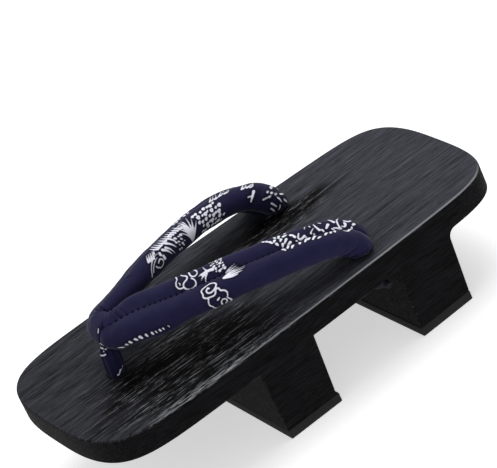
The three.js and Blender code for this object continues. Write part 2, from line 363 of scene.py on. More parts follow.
scorched_and_shaded = add_node(tree, "ShaderNodeMapRange", {
    "Value": mottled.outputs["Value"], "From Min": 0.85, "From Max": 1.3})
crest = add_node(tree, "ShaderNodeMapRange", {
    "Value": relief.outputs["Result"], "From Min": 0.555, "From Max": 0.64})
# Inside the patches the wood goes near black with grey crests: deep char with painted shadow of the strap.
burnt_and_shaded_tone = add_node(tree, "ShaderNodeMix", {
    "Factor": crest.outputs["Result"], "A": linear("#010101"), "B": linear("#86878c")}, data_type="RGBA")
top_tone = add_node(tree, "ShaderNodeMix", {
    "Factor": scorched_and_shaded.outputs["Result"], "A": brushed_with_heel_sheen.outputs["Result"],
    "B": burnt_and_shaded_tone.outputs["Result"]}, data_type="RGBA")

# The sawn sides and teeth are darker than the top: partly more soot and less brushing,
# partly painted shade, as the light falls from above
sooty_and_shaded_side_tone = add_node(tree, "ShaderNodeMix", {
    "Factor": ridge.outputs["Result"], "A": linear("#040405"), "B": linear("#161619")}, data_type="RGBA")
tone = add_node(tree, "ShaderNodeMix", {
    "Factor": where["top"], "A": sooty_and_shaded_side_tone.outputs["Result"],
    "B": top_tone.outputs["Result"]}, data_type="RGBA")

# Edges are rubbed to bare dull grey in short runs along the grain. The band of the right rim
# beside the toes is partly that wear and partly a painted highlight where light catches the
# rounded rim. The thin light line on the right rim from there to the heel is a painted highlight.
masks = []
for names in (("right side", "top", "behind the toes", "ahead of the ankle"),
              ("above the rim", "below the top", "right edge", "toward the heel")):
    mask = 1
    for name in names:
        mask = add_node(tree, "ShaderNodeMath", {
            0: mask, 1: where[name]}, operation="MULTIPLY").outputs["Value"]
    masks.append(mask)
worn_and_lit_band, painted_rim_highlight = masks
rub = add_node(tree, "ShaderNodeAttribute", attribute_name="wear")
long_grain = add_node(tree, "ShaderNodeMapping", {"Vector": place, "Scale": (1, 0.09, 1)})
runs = add_node(tree, "ShaderNodeTexNoise", {
    "Vector": long_grain.outputs["Vector"],
    "Scale": 1 / (rub_width * millimetre), "Detail": 3, "Roughness": 0.65})
edges = add_node(tree, "ShaderNodeMath", {
    0: rub.outputs["Fac"], 1: where["edges"]}, operation="MULTIPLY")
handled_and_lit = add_node(tree, "ShaderNodeMath", {
    0: worn_and_lit_band, 1: 0.75, 2: edges.outputs["Value"]}, operation="MULTIPLY_ADD")
eager = add_node(tree, "ShaderNodeMath", {
    0: worn_and_lit_band, 1: 0.05, 2: runs.outputs["Fac"]}, operation="MULTIPLY_ADD")
rubbed = add_node(tree, "ShaderNodeMapRange", {
    "Value": eager.outputs["Value"], "From Min": 0.56, "From Max": 0.6})
bare_and_lit = add_node(tree, "ShaderNodeMath", {
    0: rubbed.outputs["Result"], 1: handled_and_lit.outputs["Value"]}, operation="MULTIPLY", use_clamp=True)
worn_and_lit_tone = add_node(tree, "ShaderNodeMix", {
    "Factor": bare_and_lit.outputs["Value"], "A": tone.outputs["Result"], "B": linear("#97999d")}, data_type="RGBA")
# A painted highlight: a thin light line along the right rim toward the heel.
rimmed = add_node(tree, "ShaderNodeMix", {
    "Factor": painted_rim_highlight, "A": worn_and_lit_tone.outputs["Result"], "B": linear("#8b8c90")}, data_type="RGBA")
dull = add_node(tree, "ShaderNodeMapRange", {
    "Value": ridge.outputs["Result"], "To Min": 0.8, "To Max": 0.55})
grooves = add_node(tree, "ShaderNodeBump", {
    "Height": ridge.outputs["Result"], "Strength": 0.6, "Distance": 0.3 * millimetre})
shader = add_node(tree, "ShaderNodeBsdfPrincipled", {
    "Base Color": rimmed.outputs["Result"], "Roughness": dull.outputs["Result"],
    "Normal": grooves.outputs["Normal"], "Specular IOR Level": 0.05})
add_node(tree, "ShaderNodeOutputMaterial", {"Surface": shader.outputs["BSDF"]})

wood.data.materials.clear()
wood.data.materials.append(char)
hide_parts("wooden_base")
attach(wood, "root")


# Treads
# A slab of black rubber is glued under each tooth against wear and noise. It is cut to
# the tooth's foot, a hair proud behind it, and its edges are rubbed round.

tread_thickness = 5.5
tread_ease = 0.6
tread_step_out = {"front": 1.8, "rear": 0.4}

# Black styrene rubber, calendered and cut: a matt dark grey with a grit that is drawn
# coarser than the real 0.2 mm, under faint scuffs
grit_size = 0.556
scuff_size = 11.1
rubber, tree = blank_material("cut_black_rubber")
place = add_node(tree, "ShaderNodeTexCoord").outputs["Object"]
grit = add_node(tree, "ShaderNodeTexNoise", {
    "Vector": place, "Scale": 1 / (grit_size * millimetre), "Detail": 2})
scuff = add_node(tree, "ShaderNodeTexNoise", {
    "Vector": place, "Scale": 1 / (scuff_size * millimetre), "Detail": 3})
tone = add_node(tree, "ShaderNodeMix", {
    "Factor": scuff.outputs["Fac"], "A": linear("#171718"), "B": linear("#29292a")}, data_type="RGBA")
grain = add_node(tree, "ShaderNodeBump", {
    "Height": grit.outputs["Fac"], "Strength": 0.3, "Distance": 0.2 * millimetre})
shader = add_node(tree, "ShaderNodeBsdfPrincipled", {
    "Base Color": tone.outputs["Result"], "Roughness": 0.8,
    "Normal": grain.outputs["Normal"], "Specular IOR Level": 0.2})
add_node(tree, "ShaderNodeOutputMaterial", {"Surface": shader.outputs["BSDF"]})

for name, tooth in (("front", front_tooth), ("rear", rear_tooth)):
    slab = prism(name + "_rubber_tread", plan_view, 0, tread_thickness)
    behind = tooth["heel_foot"] + tread_step_out[name]
    carve(slab, side_prism("side_view", [
        (tooth["toe_foot"], -5), (behind, -5), (behind, 20), (tooth["toe_foot"], 20)]), "INTERSECT")
    ease_edges(slab, 0, tread_ease)
    slab.data.transform(Matrix.Scale(millimetre, 4))
    slab.data.materials.clear()
    slab.data.materials.append(rubber)
    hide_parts(name + "_tread")
    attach(slab, "root")


# V strap
# Two rolls of cotton wadding in one printed navy cover, sewn together down the middle.
# Each end is drawn through its hole in the board and knotted underneath. The loop pinches
# the inner roll thin at the apex, and the left limb is twisted a little more than the right.

limb_rows = np.array([
    # across, along, height above the board, roll radius, inner roll's share of it,
    # roll spacing, lean outward on the right and on the left in degrees
    (0, -84.5, 25.2, 4.8, 0.94, 3.4, 60, 60),
    (6.6, -83.8, 26.3, 6.0, 0.74, 7.4, 56, 64),
    (10.4, -77.8, 27.2, 6.5, 0.85, 9.2, 36, 47),
    (13.7, -68.7, 27.6, 6.7, 0.95, 10.2, 34, 44),
    (18.1, -58, 26.6, 6.8, 0.98, 10.7, 34, 44),
    (25.4, -40, 25.6, 6.8, 1, 10.8, 38, 43),
    (32.7, -19, 24.5, 6.8, 1, 10.8, 35, 41),
    (39.6, 3, 22.5, 6.8, 1, 10.6, 30, 35),
    (43.4, 22, 19.2, 6.8, 1, 10.4, 26, 29),
    (44.3, 34, 15, 6.8, 1, 10.2, 27, 28),
    (44.4, 41.4, 10.4, 6.8, 1, 9.8, 29, 29),
    (44.5, 45, 5.8, 6.8, 1, 9.4, 32, 30),
    (44.5, 45.5, 2.6, 6.5, 1, 7.8, 32, 30),
    (44.5, 45.5, 0.4, 5.1, 1, 0.4, 30, 30),
    (44.5, 45.5, -7, 5.1, 1, 0, 30, 30),
    (44.5, 45.5, -15, 5.0, 1, 0, 30, 30),
    (44.5, 45.5, -18, 3.2, 1, 0, 30, 30),
], float)
station_spacing = 0.6
roll_points = 76
seam_pitch = 3.0


def spline(rows, places):
    """Catmull-Rom values through rows, at places counted in rows."""
    padded = np.vstack([2 * rows[0] - rows[1], rows, 2 * rows[-1] - rows[-2]])
    low = np.clip(np.floor(places).astype(int), 0, len(rows) - 2)
    t = (places - low)[:, None]
    a, b, c, d = (padded[low + k] for k in range(4))
    return b + 0.5 * t * (c - a + t * (2 * a - 5 * b + 4 * c - d + t * (3 * (b - c) + d - a)))


def unit(vectors):
    """Each vector at length 1."""
    return vectors / np.linalg.norm(vectors, axis=-1, keepdims=True)


def swell(x, middle, width):
    """A smooth bump of height 1."""
    return np.exp(-((x - middle) / width) ** 2)


def limb(lean_column):
    """Rings of points round a limb, drawn on the right, with how far along it and how
    far round it from the top seam each point lies, outer roll positive."""
    both = np.vstack([limb_rows[:0:-1] * (-1, 1, 1, 1, 1, 1, 1, 1), limb_rows])
    fine_places = np.linspace(len(limb_rows) - 1, len(both) - 1, 8001)
    fine_line = spline(both, fine_places)[:, :3]
    fine_reach = np.concatenate([[0], np.cumsum(np.linalg.norm(np.diff(fine_line, axis=0), axis=1))])
    reach = np.linspace(0, fine_reach[-1], int(round(fine_reach[-1] / station_spacing)) + 1)
    here = spline(both, np.interp(reach, fine_reach, fine_places))
    middle = here[:, :3] + (0, 0, board_top)
    lean = np.radians(here[:, lean_column])
    outer = here[:, 3]
    inner = outer * here[:, 4]
    spacing = np.clip(here[:, 5], 0.01, None)
    run = unit(np.gradient(middle, axis=0))
    run[0] = (1, 0, 0)
    outward = np.zeros_like(run)
    carried = np.array((0.0, -1.0, 0.0))
    for i, along in enumerate(run):
        carried = unit(carried - along * (carried @ along))
        outward[i] = carried
    upward = np.cross(outward, run)

    # The two circles meet on a line across the pair: down the outer roll from the top
    # seam, then up the inner one
    seam = (spacing**2 + outer**2 - inner**2) / (2 * spacing)
    out_parts, up_parts, girth_parts = [], [], []
    share = np.linspace(0, 1, roll_points, endpoint=False)
    for side, size, to_seam in ((1, outer, seam), (-1, inner, spacing - seam)):
        meet = np.arccos(np.clip(-to_seam / size, -1, 1))
        turn = meet[:, None] * (1 - 2 * share)
        out_parts.append(side * (spacing[:, None] / 2 + size[:, None] * np.cos(turn)))
        up_parts.append(side * size[:, None] * np.sin(turn))
        from_start = size[:, None] * (meet[:, None] - turn)
        girth_parts.append(from_start if side == 1 else from_start - 2 * (size * meet)[:, None])
    out, up, girth = (np.concatenate(part, axis=1) for part in (out_parts, up_parts, girth_parts))
    sideways = out * np.cos(lean)[:, None] + up * np.sin(lean)[:, None]
    lift = up * np.cos(lean)[:, None] - out * np.sin(lean)[:, None]
    points = (middle[:, None] + sideways[:, :, None] * outward[:, None]
              + lift[:, :, None] * upward[:, None])
    return points, np.broadcast_to(reach[:, None], girth.shape), girth


def stuffed(points, reach, girth, creases, phase):
    """Moves a limb's surface as wadding, seam stitches and creases do."""
    wadding = 0.14 * np.sin(reach / 4.3 + phase + 0.9 * np.sin(girth / 4.1)) * np.cos(girth / 3.4 + phase)
    pinches = 0.09 * np.sin(reach / 2.6 + 1.3 * np.sin(reach / 9.7) + girth / 2.9)
    rucks = 0.04 * np.sin(reach / 1.3 + 2.1 * np.sin(reach / 5.3) - girth / 1.7)
    lumps = wadding + pinches * np.sin(girth / 2.2 - phase) + rucks

    # The seam is drawn in, most of all beside the toes, and puckers between its stitches
    pull = 0.35 + 0.65 / (1 + np.exp((reach - 62) / 9))
    stitch = (0.5 + 0.5 * np.cos(2 * math.pi * reach / seam_pitch)) ** 1.5
    seam_dip = (pull * stitch * (1.3 * swell(girth, 0, 1.1) - 0.16 * swell(np.abs(girth), 2.9, 1.4))
                - (0.2 + 1.0 * pull) * swell(girth, 0, 1.7))

    depth = np.zeros_like(reach)
    for at, slope, low, high, width, deep in creases:
        off = reach - at - slope * girth
        middle, half = (low + high) / 2, (high - low) / 2
        fade = np.clip(1 - ((girth - middle) / half) ** 2, 0, 1) ** 0.7
        depth += deep * fade * (swell(off, 0, width) - 0.45 * swell(np.abs(off), 2 * width, width))

    # All of that ends at the board. The neck is gathered into pleats, also in the hole.
    limb_end = reach.max() - 12
    above_board = np.clip((limb_end - reach) / 4, 0, 1)
    neck = np.clip((reach - limb_end + 15) / 8, 0, 1) * np.clip((limb_end + 4 - reach) / 6, 0, 1)
    pleats = 0.32 * neck * np.sin(girth * 1.9 + 1.2 * np.sin(girth / 2.7) + phase)
    normal = unit(np.cross(np.gradient(points, axis=0), np.roll(points, -1, 1) - np.roll(points, 1, 1)))
    outward_sign = np.sign(np.sum(normal * (points - points.mean(1, keepdims=True))))
    moved = above_board * (lumps - seam_dip - depth) + pleats
    return points + outward_sign * moved[:, :, None] * normal


# Creases as (reach at the seam, slope, girth from, to, width, depth): the pinch beside the
# toe loop, the drag lines that fan from it, and the folds inside the bend at the board
right_creases = [
    (14, 0.25, -14, 0.5, 0.6, 0.9), (9, 0.1, -12, 0, 0.8, 0.4), (18.5, 0.5, -9, -1, 0.7, 0.3),
    (8.5, -0.1, 2, 16, 0.8, 0.35), (150, -0.7, 12, 28, 1.1, 1.2), (146, -0.6, 13, 25, 0.9, 0.6),
    (157, -0.7, 8, 24, 1.1, 0.6), (146, 0.6, -22, -8, 1.2, 0.6), (139, 0.5, -22, -11, 1.2, 0.5),
]
left_creases = [
    (13, 0.3, -15, 3, 0.6, 1.1), (9.5, 0.1, -12, 0, 0.8, 0.4), (19.5, 0.6, -12, -1, 0.8, 0.4),
    (27, -0.7, -14, -3, 1.0, 0.35), (40, 0.6, -13, -2, 1.0, 0.3),
    (10, -0.1, 2, 16, 0.9, 0.35), (150, -0.7, 9, 25, 1.0, 0.9), (156, -0.7, 7, 24, 1.0, 0.6),
    (145, 0.6, -22, -7, 1.2, 0.8), (138, 0.5, -22, -10, 1.2, 0.6), (151, 0.5, -20, -5, 1.0, 0.5),
]
right, right_reach, right_girth = limb(lean_column=6)
left, left_reach, left_girth = limb(lean_column=7)
right = stuffed(right, right_reach, right_girth, right_creases, 0.4)
left = stuffed(left, left_reach, left_girth, left_creases, 2.1)
left[0] = right[0] = (left[0] + right[0]) / 2


def settled(points, reach, places):
    """Fills or thins a limb about its middle and lets it sink, round each of a few places:
    (reach, spread along the limb, fuller by that share, sunk by)."""
    fuller = sum(share * swell(reach, at, spread) for at, spread, share, _ in places)[:, :, None]
    sunk = sum(depth * swell(reach, at, spread) for at, spread, _, depth in places)[:, :, None]
    return points + fuller * (points - points.mean(1, keepdims=True)) - sunk * (0, 0, 1)


# Beside the toes the right limb is stuffed fuller and the left one slimmer, and both are
# full where they turn into their holes. The left one sags there.
limb_length = right_reach.max()
right = settled(right, right_reach, [(26, 17, 0.18, 1.4), (limb_length - 20, 6, 0.1, 0)])
left = settled(left, left_reach, [(26, 17, -0.14, 1.3), (limb_length - 30, 10, 0.16, 0.4)])
left += swell(left_reach, limb_length - 24, 9)[:, :, None] * (0, 0.2, -2.2)


# The print, drawn on the flat cover: reach and girth in millimetres. Clouds, plumes, claws
# and scales come from old dragon cloth. Each stroke is (half width at its start, at its
# end, points).
line = 0.38
right_print = [
    (line, line, [(49, -16), (47.7, -14), (47.9, -11.5), (48.1, -8.5), (47, -6.6), (46.5, -4.8),
                  (47, -3.2), (48.4, -2.5), (50, -2.8)]),
    (line, line, [(51.4, -15), (50.8, -12.2), (51.4, -9.8), (53, -8.5), (53.4, -7.2), (52.6, -5.9),
                  (51, -5), (50, -3.6), (50.4, -1.7), (52, -0.7), (54, -0.6), (56, -1.5), (56.6, -3.2),
                  (56.1, -4.6), (55.2, -5.6)]),
    (line, line, [(55.9, -15.4), (55.2, -12), (55.2, -9.5), (55.4, -7.4), (56.2, -6.2), (57.6, -6),
                  (58.9, -6.8), (59.3, -8.4), (58.9, -10.4), (58.4, -12.4), (57.4, -15), (55.9, -15.4)]),
    (0.3, 0.3, [(48.3, -5.8), (48.7, -5), (48.3, -4.2)]),
    (0.7, 0.8, [(60.8, -5), (63.4, -5.5), (67, -5.6)]),
    (0.15, 0.45, [(63.1, -9.6), (63.4, -7.6), (64, -6)]),
    (0.15, 0.5, [(58.8, -4.7), (60.6, -5.4), (62.6, -5.4)]),
    (0.15, 0.5, [(59.3, -2.2), (60.6, -3.5), (62.8, -4.6)]),
    (0.2, 0.5, [(61.2, -0.6), (62, -2.6), (63.6, -4.6)]),
    (1.0, 0.2, [(70.6, 4), (74, 5.6), (77.6, 5.9)]), (0.9, 0.15, [(71, 3.4), (76, 4.6), (80.8, 4.7)]),
    (0.7, 0.1, [(72, 2.6), (77, 3), (82.4, 3.2)]), (0.5, 0.1, [(73, 1.6), (78, 1.6), (82.8, 1.8)]),
    (0.5, 0.1, [(72.6, -0.6), (75, -2), (78.4, -3.2)]), (0.5, 0.1, [(73.4, -0.2), (76, -1.3), (79.2, -2.1)]),
    (0.5, 0.1, [(74.4, 0.3), (77, -0.5), (79.8, -1.1)]), (0.5, 0.1, [(75, 0.8), (78, 0.3), (83, -0.2)]),
    (line, line, [(61, 6.2), (59.7, 6.6), (59.5, 8.1), (61, 8.9), (63, 8.3), (64.8, 7), (65.4, 5.6),
                  (64.5, 4.3), (62, 3.6), (60, 4.2), (58, 5), (57, 6.2), (57.2, 7.9), (56.8, 9.5),
                  (57.9, 10.6), (60, 10.9), (62, 11), (63.2, 10.2), (63.8, 8.9), (64.9, 8.2), (65.8, 8.9),
                  (66.1, 10), (67.8, 10.7), (68.8, 12.2), (68.5, 13.8), (68, 15.1), (69.2, 17), (69.6, 19),
                  (68.4, 20.6), (66.8, 21.4)]),
    (line, line, [(59, 11.2), (58.2, 13.1), (58.2, 15), (59.4, 16.5), (59.9, 18.4), (61.2, 20.3),
                  (63.4, 21.4)]),
    (0.5, 0.5, [(60.6, 5.8), (61.2, 6.3)]), (0.5, 0.4, [(62.9, 14), (64.1, 13.2)]),
    (line, line, [(64.4, 18.6), (64.2, 16.4), (65.4, 14.9), (66.9, 15.6), (67.2, 17.4), (66.2, 18.6)]),
    (0.2, 0.5, [(8.4, 14), (9.2, 15.2), (9.6, 16.8)]),
    *[(size, 0.8 * size, [(x, 15.1), (x + 0.6, 16.3)]) for x, size in (
        (11.2, 0.5), (13.5, 0.7), (16, 0.6), (18.4, 0.8), (22, 0.75), (26, 0.65), (28.2, 0.35), (30.4, 0.45),
        (32.2, 0.35), (35, 0.25))],
    *[(0.75, 0.45, [a, b]) for a, b in (
        ((96.6, -9.8), (97, -8.8)), ((98.2, -8.4), (98.8, -7.6)), ((99.6, -7), (100.4, -5.4)),
        ((102.2, -6.6), (101.4, -5.6)), ((102.2, -4), (102.6, -3)), ((103, -9.4), (103.2, -8)),
        ((105.4, -8.8), (104.6, -7)), ((107.2, -6.8), (109, -7)), ((105.4, -5.6), (104.6, -4.6)),
        ((107.8, -4.4), (106, -2.6)), ((105, -2.6), (104.4, -1.2)), ((109, -2), (107, -0.8)),
        ((110.8, -5.8), (112, -5)), ((112.1, -3.9), (112.3, -3.3)), ((109.4, -10), (108.6, -8.8)),
        ((106.8, 1.2), (105.8, 3.2)), ((103.6, 1.2), (104.2, 4.2)), ((109, 2.4), (107.6, 4.6)),
        ((112.7, 2.6), (112.2, 4)), ((117, 1.2), (115, 4.2)), ((118.6, 1.2), (117.2, 3.4)),
        ((121.6, 1.2), (119, 4.8)), ((122.6, 4.6), (121.4, 5.4)), ((127.2, 2), (125.4, 4.4)),
        ((129.6, 2), (128.4, 4.2)), ((132, 1.6), (131, 3.8)), ((130.8, -4.6), (129, -2.6)))],
    (0.3, 0.6, [(115, -4.8), (113.6, -2.4), (114.4, -1.2), (117, -2.2)]),
    (0.4, 0.4, [(112, -1.4), (112.3, -1.1)]),
    (0.4, 0.3, [(117.6, -1.1), (117, -0.2)]), (0.3, 0.2, [(119.8, -8), (118.6, -5.8)]),
    (0.4, 0.3, [(121.8, -7.2), (121.9, -6.2)]), (0.25, 0.5, [(123, -4.8), (121, -3), (120.6, -2.2)]),
    (0.4, 0.2, [(122, -1.4), (121, -0.2)]), (0.3, 0.6, [(124.2, -7.6), (124.5, -4.8), (125.2, -2.6)]),
    (0.5, 0.4, [(126.6, -2.3), (127, -1.2)]), (0.3, 0.3, [(127, -7.8), (128, -6.8)]),
    (0.3, 0.7, [(133, -9), (134.3, -5.6)]), (0.4, 0.3, [(131.8, -1.6), (132.8, -0.5)]),
    (0.3, 0.6, [(132.8, -1.9), (134.4, -1.5), (136.2, -0.8)]),
    (0.3, 0.4, [(138.4, -9.2), (136.5, -7), (135.6, -4), (135.9, -0.9)]),
    (0.2, 0.75, [(136.8, -2.2), (138.2, -1.8), (139, -2.8), (139.2, -4)]),
    (0.6, 0.3, [(139.6, -5.9), (141.4, -5.4), (143, -7)]), (0.6, 0.4, [(143.4, -4.2), (142.6, -3)]),
    (0.35, 0.5, [(142, -1.8), (141.2, 0), (140, 1.8)]),
    (0.6, 0.3, [(139.4, 2.2), (137.4, 4.2), (135.6, 3.2)]),
]
left_print = [
    (line, 0.2, [(45.4, -22.5), (46.6, -19.6), (48.6, -17.4), (51.4, -15.8), (54.4, -15), (57.4, -15)]),
    (line, 0.2, [(47.6, -21), (49.2, -18.8), (51.8, -17.2), (55, -16.4)]),
    *[(0.55, 0.15, [(49 + 1.4 * k, -14.8 - 0.3 * k), (50.6 + 1.4 * k, -12.8 - 0.3 * k),
                    (52.4 + 1.4 * k, -10.8 - 0.3 * k)]) for k in range(4)],
    (line, line, [(53.4, -19), (55.6, -18), (57, -19.4), (56.2, -21.6), (53.8, -22.2), (51.8, -20.8)]),
    (0.4, 0.3, [(51, -19.6), (51.6, -21)]), (0.9, 0.7, [(58.8, -19.6), (58.9, -18.2)]),
    (0.8, 0.6, [(57.8, -16.6), (58.3, -15.6)]), (0.4, 0.2, [(55.6, -14), (57.6, -12.2)]),
    (0.85, 0.2, [(61.2, -15.6), (63, -17.6), (64.8, -21)]),
    (0.7, 0.2, [(63.6, -15.8), (65.2, -18), (66.8, -21.6)]),
    (0.9, 0.2, [(65.8, -14), (67.4, -16), (69.4, -19.6)]),
    (0.6, 0.2, [(69.6, -13.6), (70.6, -15.6), (71.4, -17.8)]),
    *[(0.65, 0.2, [(59.4 + 2 * k, -13.2), (58.2 + 2 * k, -11.4), (58 + 2 * k, -8.6)]) for k in range(11)],
    (0.4, 0.2, [(59.4, -13.6), (64, -13.2), (70, -12.8)]),
    (0.4, 0.2, [(70.6, -12), (75, -11.4), (80.6, -11.2)]),
    (0.5, 0.2, [(60, -4.4), (66, -4.2), (71, -3.6)]),
    *[(0.8, 0.15, [(82.4, -23.5), (0.4 * x + 0.6 * 82.4, 0.5 * y - 11.6), (x, y)])
      for x, y in ((77.4, -15.6), (78.4, -12.6), (79.6, -10.4), (80.8, -9.4), (82.2, -8.8), (83.4, -8.8),
                   (84.6, -9.4), (87.8, -10), (89.4, -12.2), (90.4, -15))],
    (0.3, 0.55, [(129.6, -19.4), (130.8, -16.8), (132.4, -13.8)]),
    (0.5, 0.35, [(128.4, -16.6), (130.4, -16.2)]),
    *[(0.5 - 0.1 * (k % 2), 0.15, [
        (x + 1.6 * k + 0.4 * math.sin(4 * k + x), y),
        (x + 1.8 + 1.7 * k, y + 1.7 - 0.3 * k),
        (x + 4 + 1.9 * k + 0.8 * math.sin(3 * k + x), y + 4.2 + 1.2 * math.sin(2 * k + x))])
      for x, y in ((126.6, -11.2), (132, 0.2), (106.6, -10), (113.6, -9.4), (112.4, 0.4), (119.6, 0.8))
      for k in range(4)],
    *[(0.5, 0.35, [a, b]) for a, b in (
        ((136.6, -18.4), (138.8, -17.2)), ((139.6, -16.8), (140.4, -16)), ((138.8, -14.8), (139.6, -14)),
        ((140.8, -14.8), (141.4, -14)), ((142.6, -14.8), (143.6, -13.6)), ((144, -15.8), (146.2, -16.8)),
        ((141.4, -19.4), (144.6, -20)), ((142.4, -22), (145.6, -22.6)), ((146.6, -18.6), (147.6, -20.6)),
        ((145.4, -13), (147, -11.6)), ((147.6, -14.6), (149, -13.4)))],
    (0.55, 0.3, [(141.2, -11.8), (142.2, -10), (143.4, -7.8)]), (0.4, 0.2, [(144.6, -9.6), (147, -8.6)]),
    (line, line, [(58, 8), (56.4, 9.6), (57, 11.6), (59, 12), (60.2, 10.6), (61.8, 10), (63.2, 11.4),
                  (62.6, 13.4), (60.4, 14.2), (58.6, 15.4), (59.4, 17.2), (61.8, 17.4)]),
]


def scales(first, last, low, high, pitch, size, slant):
    """Staggered rows of short drops between two reaches and two girths."""
    drops = []
    for column in range(int((last - first) / pitch)):
        for row in range(int((high - low) / pitch)):
            x = first + pitch * (column + 0.5 * (row % 2) + 0.18 * math.sin(5 * column + 3 * row))
            y = low + pitch * (row + 0.15 * math.sin(4 * column + 7 * row))
            thick = size * (1 + 0.35 * math.sin(3 * column + 11 * row))
            drops.append((thick, 0.6 * thick, [(x, y), (x + 1.1 * size, y + slant * size)]))
    return drops


right_print += scales(67.2, 74.2, -12, -0.4, 1.75, 0.52, -1)
right_print += scales(97, 111, -21, -10.6, 2.7, 0.75, 0.9) + scales(113, 140, -20, -9.6, 2.9, 0.55, 1.8)
left_print += scales(71, 79, -22, -13.4, 2.1, 0.52, -1.2) + scales(91, 110, -23, -8, 2.7, 0.85, 0.7)
left_print += scales(88, 104, 4, 14, 2.7, 0.8, 0.8)


def inside_strokes(points, strokes):
    """How deep each flat point lies inside the nearest stroke, negative outside."""
    depth = np.full(len(points), -5.0)
    for start, end, line_points in strokes:
        coarse = np.array(line_points, float)
        smooth = spline(coarse, np.linspace(0, len(coarse) - 1, 3 * len(coarse)))
        near = np.all((points > smooth.min(0) - 3) & (points < smooth.max(0) + 3), axis=1)
        local = points[near]
        best = depth[near]
        for k, (a, b) in enumerate(zip(smooth, smooth[1:])):
            step = b - a
            t = np.clip((local - a) @ step / (step @ step), 0, 1)
            half = start + (end - start) * (k + t) / (len(smooth) - 1)
            best = np.maximum(best, half - np.linalg.norm(local - a - t[:, None] * step, axis=1))
        depth[near] = best
    return depth


def tube(name, rings, closed=False):
    """A piece skinned over rings of points. Its ends are capped to their middles, or in a
    closed one the last ring joins the first."""
    count, sides = rings.shape[:2]
    here = np.arange(count * sides).reshape(count, sides)
    there = np.roll(here, -1, 0)
    points = rings.reshape(-1, 3)
    caps = []
    if not closed:
        first, last = len(points), len(points) + 1
        points = np.vstack([points, rings[0].mean(0), rings[-1].mean(0)])
        caps += [(first, b, a) for a, b in zip(here[0], np.roll(here[0], -1))]
        caps += [(last, a, b) for a, b in zip(here[-1], np.roll(here[-1], -1))]
        here, there = here[:-1], there[:-1]
    faces = np.stack([here, np.roll(here, -1, 1), np.roll(there, -1, 1), there], -1).reshape(-1, 4)
    piece = solid(name, (points * millimetre).tolist(), faces.tolist() + caps)
    piece.data.shade_smooth()
    return piece


cover = tube("padded_v_strap", np.concatenate([left[:0:-1] * (-1, 1, 1), right]))
flat_left = np.stack([-left_reach, left_girth], -1)[:0:-1]
flat_right = np.stack([right_reach, right_girth], -1)
flat = np.concatenate([flat_left, flat_right]).reshape(-1, 2)
printed = np.where(
    flat[:, 0] > 0,
    inside_strokes(flat, right_print),
    inside_strokes(flat * (-1, 1), left_print))
layer = cover.data.attributes.new("print", "FLOAT", "POINT")
layer.data.foreach_set("value", np.append(printed, [-5, -5]))
cloth = cover.data.uv_layers.new(name="cloth")
corner_points = np.zeros(len(cover.data.loops), int)
cover.data.loops.foreach_get("vertex_index", corner_points)
cloth.data.foreach_set("uv", (np.vstack([flat, flat[0], flat[-1]]) * millimetre)[corner_points].ravel())

# Plain-woven cotton, dyed navy round a paste resist that leaves the print near white, with
# a darker second dye close about it: matt, with a faint sheen of loose fibre. Real threads
# lie about 0.3 mm apart, and these are three times as coarse so that they show.
thread_pitch = 0.898
fade_size = 6.25
bands_at_scale_1 = 20 / (2 * math.pi)
cotton, tree = blank_material("navy_printed_cotton")
flat_cloth = add_node(tree, "ShaderNodeUVMap", uv_map="cloth").outputs["UV"]
warp, weft = (add_node(tree, "ShaderNodeTexWave", {
    "Vector": flat_cloth, "Scale": 1 / (bands_at_scale_1 * thread_pitch * millimetre),
    "Distortion": 0.6, "Detail": 1, "Detail Scale": 60}, bands_direction=way) for way in "XY")
weave = add_node(tree, "ShaderNodeMath", {
    0: warp.outputs["Fac"], 1: weft.outputs["Fac"]}, operation="MULTIPLY")
fade = add_node(tree, "ShaderNodeTexNoise", {
    "Vector": flat_cloth, "Scale": 1 / (fade_size * millimetre), "Detail": 3})
dye = add_node(tree, "ShaderNodeMix", {
    "Factor": fade.outputs["Fac"], "A": linear("#141334"), "B": linear("#201f42")}, data_type="RGBA")
drawn = add_node(tree, "ShaderNodeAttribute", attribute_name="print")
ragged = add_node(tree, "ShaderNodeMath", {
    0: fade.outputs["Fac"], 1: 0.3, 2: drawn.outputs["Fac"]}, operation="MULTIPLY_ADD")
crowded = add_node(tree, "ShaderNodeMapRange", {
    "Value": drawn.outputs["Fac"], "From Min": -1.7, "From Max": -0.4, "To Max": 0.6})
ground = add_node(tree, "ShaderNodeMix", {
    "Factor": crowded.outputs["Result"], "A": dye.outputs["Result"], "B": linear("#070518")},
    data_type="RGBA")
resist = add_node(tree, "ShaderNodeMapRange", {
    "Value": ragged.outputs["Value"], "From Min": 0.03, "From Max": 0.27})
cloth_tone = add_node(tree, "ShaderNodeMix", {
    "Factor": resist.outputs["Result"], "A": ground.outputs["Result"], "B": linear("#e8eaf6")},
    data_type="RGBA")
threads = add_node(tree, "ShaderNodeBump", {
    "Height": weave.outputs["Value"], "Strength": 0.35, "Distance": 0.12 * millimetre})
shader = add_node(tree, "ShaderNodeBsdfPrincipled", {
    "Base Color": cloth_tone.outputs["Result"], "Roughness": 0.85, "Normal": threads.outputs["Normal"],
    "Specular IOR Level": 0.15, "Sheen Weight": 0.12, "Sheen Roughness": 0.4})
add_node(tree, "ShaderNodeOutputMaterial", {"Surface": shader.outputs["BSDF"]})
cover.data.materials.append(cotton)
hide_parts("strap")
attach(cover, "root")


# Toe loop
# A flat tube of the same cotton is folded over the apex of the V, both ends gathered
# into one stem that goes down through the toe hole and is knotted underneath.

